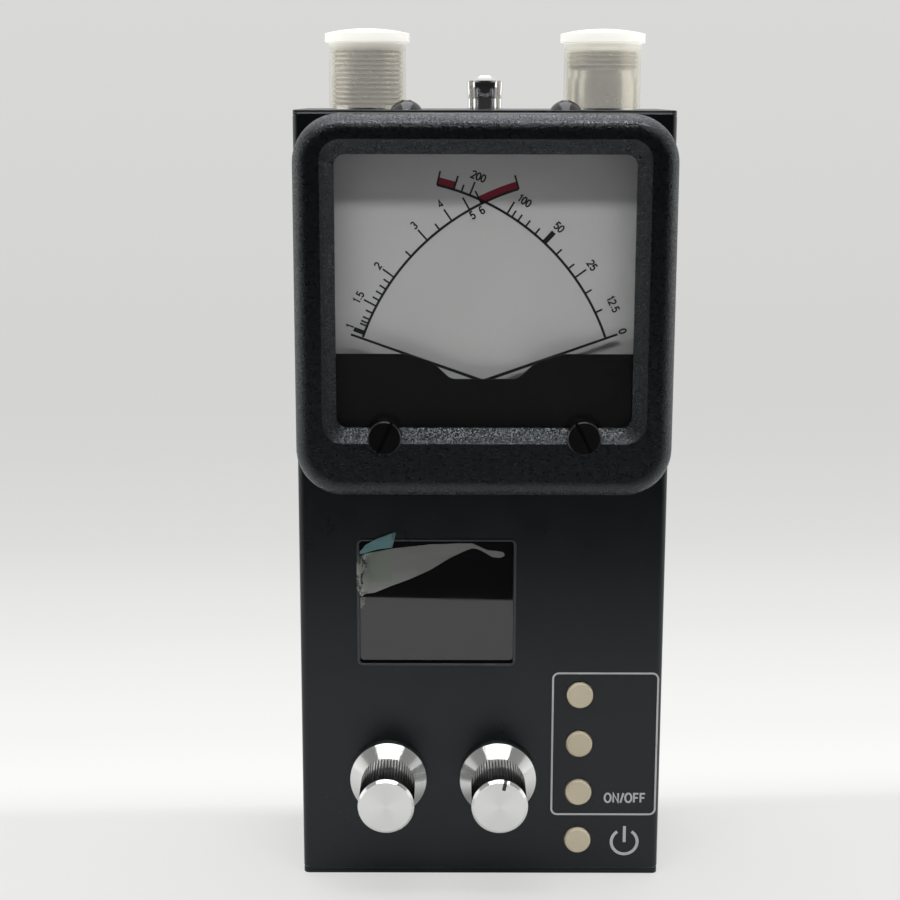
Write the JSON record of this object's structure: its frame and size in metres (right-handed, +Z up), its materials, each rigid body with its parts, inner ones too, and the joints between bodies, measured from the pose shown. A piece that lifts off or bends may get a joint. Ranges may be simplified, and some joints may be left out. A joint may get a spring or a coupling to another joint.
{
  "type": "antenna analyzer",
  "caption": "Hand-held antenna analyzer: upright black metal case with a cross-needle meter, display window, two knobs, push buttons and two capped coaxial jacks on top.",
  "frame": {"origin": "middle of the flat base plate, which the case stands on", "axes": "+Z up along the case, the front panel with meter and knobs faces -Y, +X to the right as seen from the front"},
  "size_m": [0.0876, 0.0617, 0.1988],
  "materials": {
    "black_paint": "fine satin black enamel",
    "black_plastic": "moulded black",
    "bezel_plastic": "black moulding with a fine spark texture",
    "black_screw": "black oxide",
    "lens_clear": "clear moulding",
    "dial_paper": "matt off-white print",
    "mask_black": "matt black",
    "needle_black": "matt black",
    "adjuster_black": "gloss black",
    "zinc_steel": "bright zinc",
    "copper": "enamelled copper wire",
    "spring_bronze": "bronze strip",
    "display_glass": "dark clear window",
    "display_panel": "dark display panel",
    "circuit_board": "green solder resist",
    "clear_film": "thin wrinkled protective film with a tinted pull tab",
    "button_beige": "beige moulding",
    "turned_aluminium": "bright turned",
    "nickel_plate": "nickel plate",
    "white_ptfe": "white insulator",
    "gold_contact": "gold-plated contact",
    "milky_plastic": "soft translucent moulding",
    "chrome_cap": "bright chrome",
    "tin_plate": "tin plate",
    "grey_ribbon": "flat grey cable",
    "cell_wrap": "plain wrapped cells"
  },
  "bodies": {
    "case": {"band_switch": "zinc_steel", "battery_cells": "cell_wrap", "battery_contacts": "nickel_plate", "battery_holder": "black_plastic", "board_screws": "zinc_steel", "bush_nuts": "zinc_steel", "button_switches": "black_plastic", "chassis": "black_paint", "control_board": "circuit_board", "dial_mask": "mask_black", "dial_plate": "dial_paper", "display_board": "circuit_board", "display_film": "clear_film", "display_module": "display_panel", "display_window": "display_glass", "frequency_encoder": "zinc_steel", "front_cover": "black_paint", "meter_bezel": "bezel_plastic", "meter_lens": "lens_clear", "meter_screws": "zinc_steel", "meter_tub": "black_plastic", "n_jack_contact": "gold_contact", "n_jack_insulator": "white_ptfe", "n_jack_shell": "nickel_plate", "ohms_movement": "zinc_steel", "power_socket": "black_plastic", "rf_board": "circuit_board", "rf_shield_can": "tin_plate", "ribbon_cable": "grey_ribbon", "selector_switch": "black_plastic", "side_screws": "black_screw", "standoffs": "zinc_steel", "swr_movement": "zinc_steel", "top_screws": "black_screw", "uhf_jack_contact": "gold_contact", "uhf_jack_insulator": "white_ptfe", "uhf_jack_shell": "nickel_plate"},
    "swr_pointer": {"swr_coil": "copper", "swr_hairspring": "spring_bronze", "swr_needle": "needle_black"},
    "ohms_pointer": {"ohms_coil": "copper", "ohms_hairspring": "spring_bronze", "ohms_needle": "needle_black"},
    "left_adjuster": {"left_zero_adjuster": "adjuster_black"},
    "right_adjuster": {"right_zero_adjuster": "adjuster_black"},
    "band_control": {"band_shaft": "zinc_steel", "band_knob": "turned_aluminium", "band_set_screw": "black_screw"},
    "frequency_control": {"frequency_shaft": "zinc_steel", "frequency_knob": "turned_aluminium", "frequency_set_screw": "black_screw"},
    "top_button": {"button_1": "button_beige"},
    "second_button": {"button_2": "button_beige"},
    "third_button": {"button_3": "button_beige"},
    "power_button": {"button_4": "button_beige"},
    "selector": {"selector_cap": "chrome_cap"},
    "left_dust_cap": {"uhf_dust_cap": "milky_plastic"},
    "right_dust_cap": {"n_dust_cap": "milky_plastic"},
    "battery_cover": {"battery_door": "black_plastic", "battery_door_screws": "black_screw"}
  },
  "joints": [
    {"name": "swr_sweep", "type": "hinge", "parent": "case", "child": "swr_pointer", "pos_m": [0.0225, -0.0215, 0.11345], "axis": [0, 1, 0], "range_deg": [0, 53.7], "stiffness_Nm_per_rad": 0.00002},
    {"name": "ohms_sweep", "type": "hinge", "parent": "case", "child": "ohms_pointer", "pos_m": [-0.0225, -0.0215, 0.11345], "axis": [0, -1, 0], "range_deg": [0, 57.1], "stiffness_Nm_per_rad": 0.00002},
    {"name": "left_adjuster_turn", "type": "hinge", "parent": "case", "child": "left_adjuster", "pos_m": [-0.022, -0.0215, 0.1098], "axis": [0, 1, 0], "range_deg": [-45, 45]},
    {"name": "right_adjuster_turn", "type": "hinge", "parent": "case", "child": "right_adjuster", "pos_m": [0.022, -0.0215, 0.1098], "axis": [0, 1, 0], "range_deg": [-45, 45]},
    {"name": "band_turn", "type": "hinge", "parent": "case", "child": "band_control", "pos_m": [-0.02195, -0.0215, 0.02515], "axis": [0, 1, 0], "range_deg": [0, 180]},
    {"name": "frequency_turn", "type": "hinge", "parent": "case", "child": "frequency_control", "pos_m": [0.00395, -0.0215, 0.02515], "axis": [0, 1, 0], "continuous": true},
    {"name": "top_button_press", "type": "slide", "parent": "case", "child": "top_button", "axis": [0, 1, 0], "range_m": [0, 0.0005], "stiffness_N_per_m": 800, "springref_m": -0.0002},
    {"name": "second_button_press", "type": "slide", "parent": "case", "child": "second_button", "axis": [0, 1, 0], "range_m": [0, 0.0005], "stiffness_N_per_m": 800, "springref_m": -0.0002},
    {"name": "third_button_press", "type": "slide", "parent": "case", "child": "third_button", "axis": [0, 1, 0], "range_m": [0, 0.0005], "stiffness_N_per_m": 800, "springref_m": -0.0002},
    {"name": "power_button_press", "type": "slide", "parent": "case", "child": "power_button", "axis": [0, 1, 0], "range_m": [0, 0.0005], "stiffness_N_per_m": 800, "springref_m": -0.0002},
    {"name": "selector_press", "type": "slide", "parent": "case", "child": "selector", "axis": [0, 0, -1], "range_m": [0, 0.002], "stiffness_N_per_m": 400, "springref_m": -0.0012},
    {"name": "left_dust_cap_lift", "type": "slide", "parent": "case", "child": "left_dust_cap", "axis": [0, 0, 1], "range_m": [0, 0.02]},
    {"name": "right_dust_cap_lift", "type": "slide", "parent": "case", "child": "right_dust_cap", "axis": [0, 0, 1], "range_m": [0, 0.02]},
    {"name": "battery_cover_lift", "type": "slide", "parent": "case", "child": "battery_cover", "axis": [0, 1, 0], "range_m": [0, 0.02]}
  ]
}
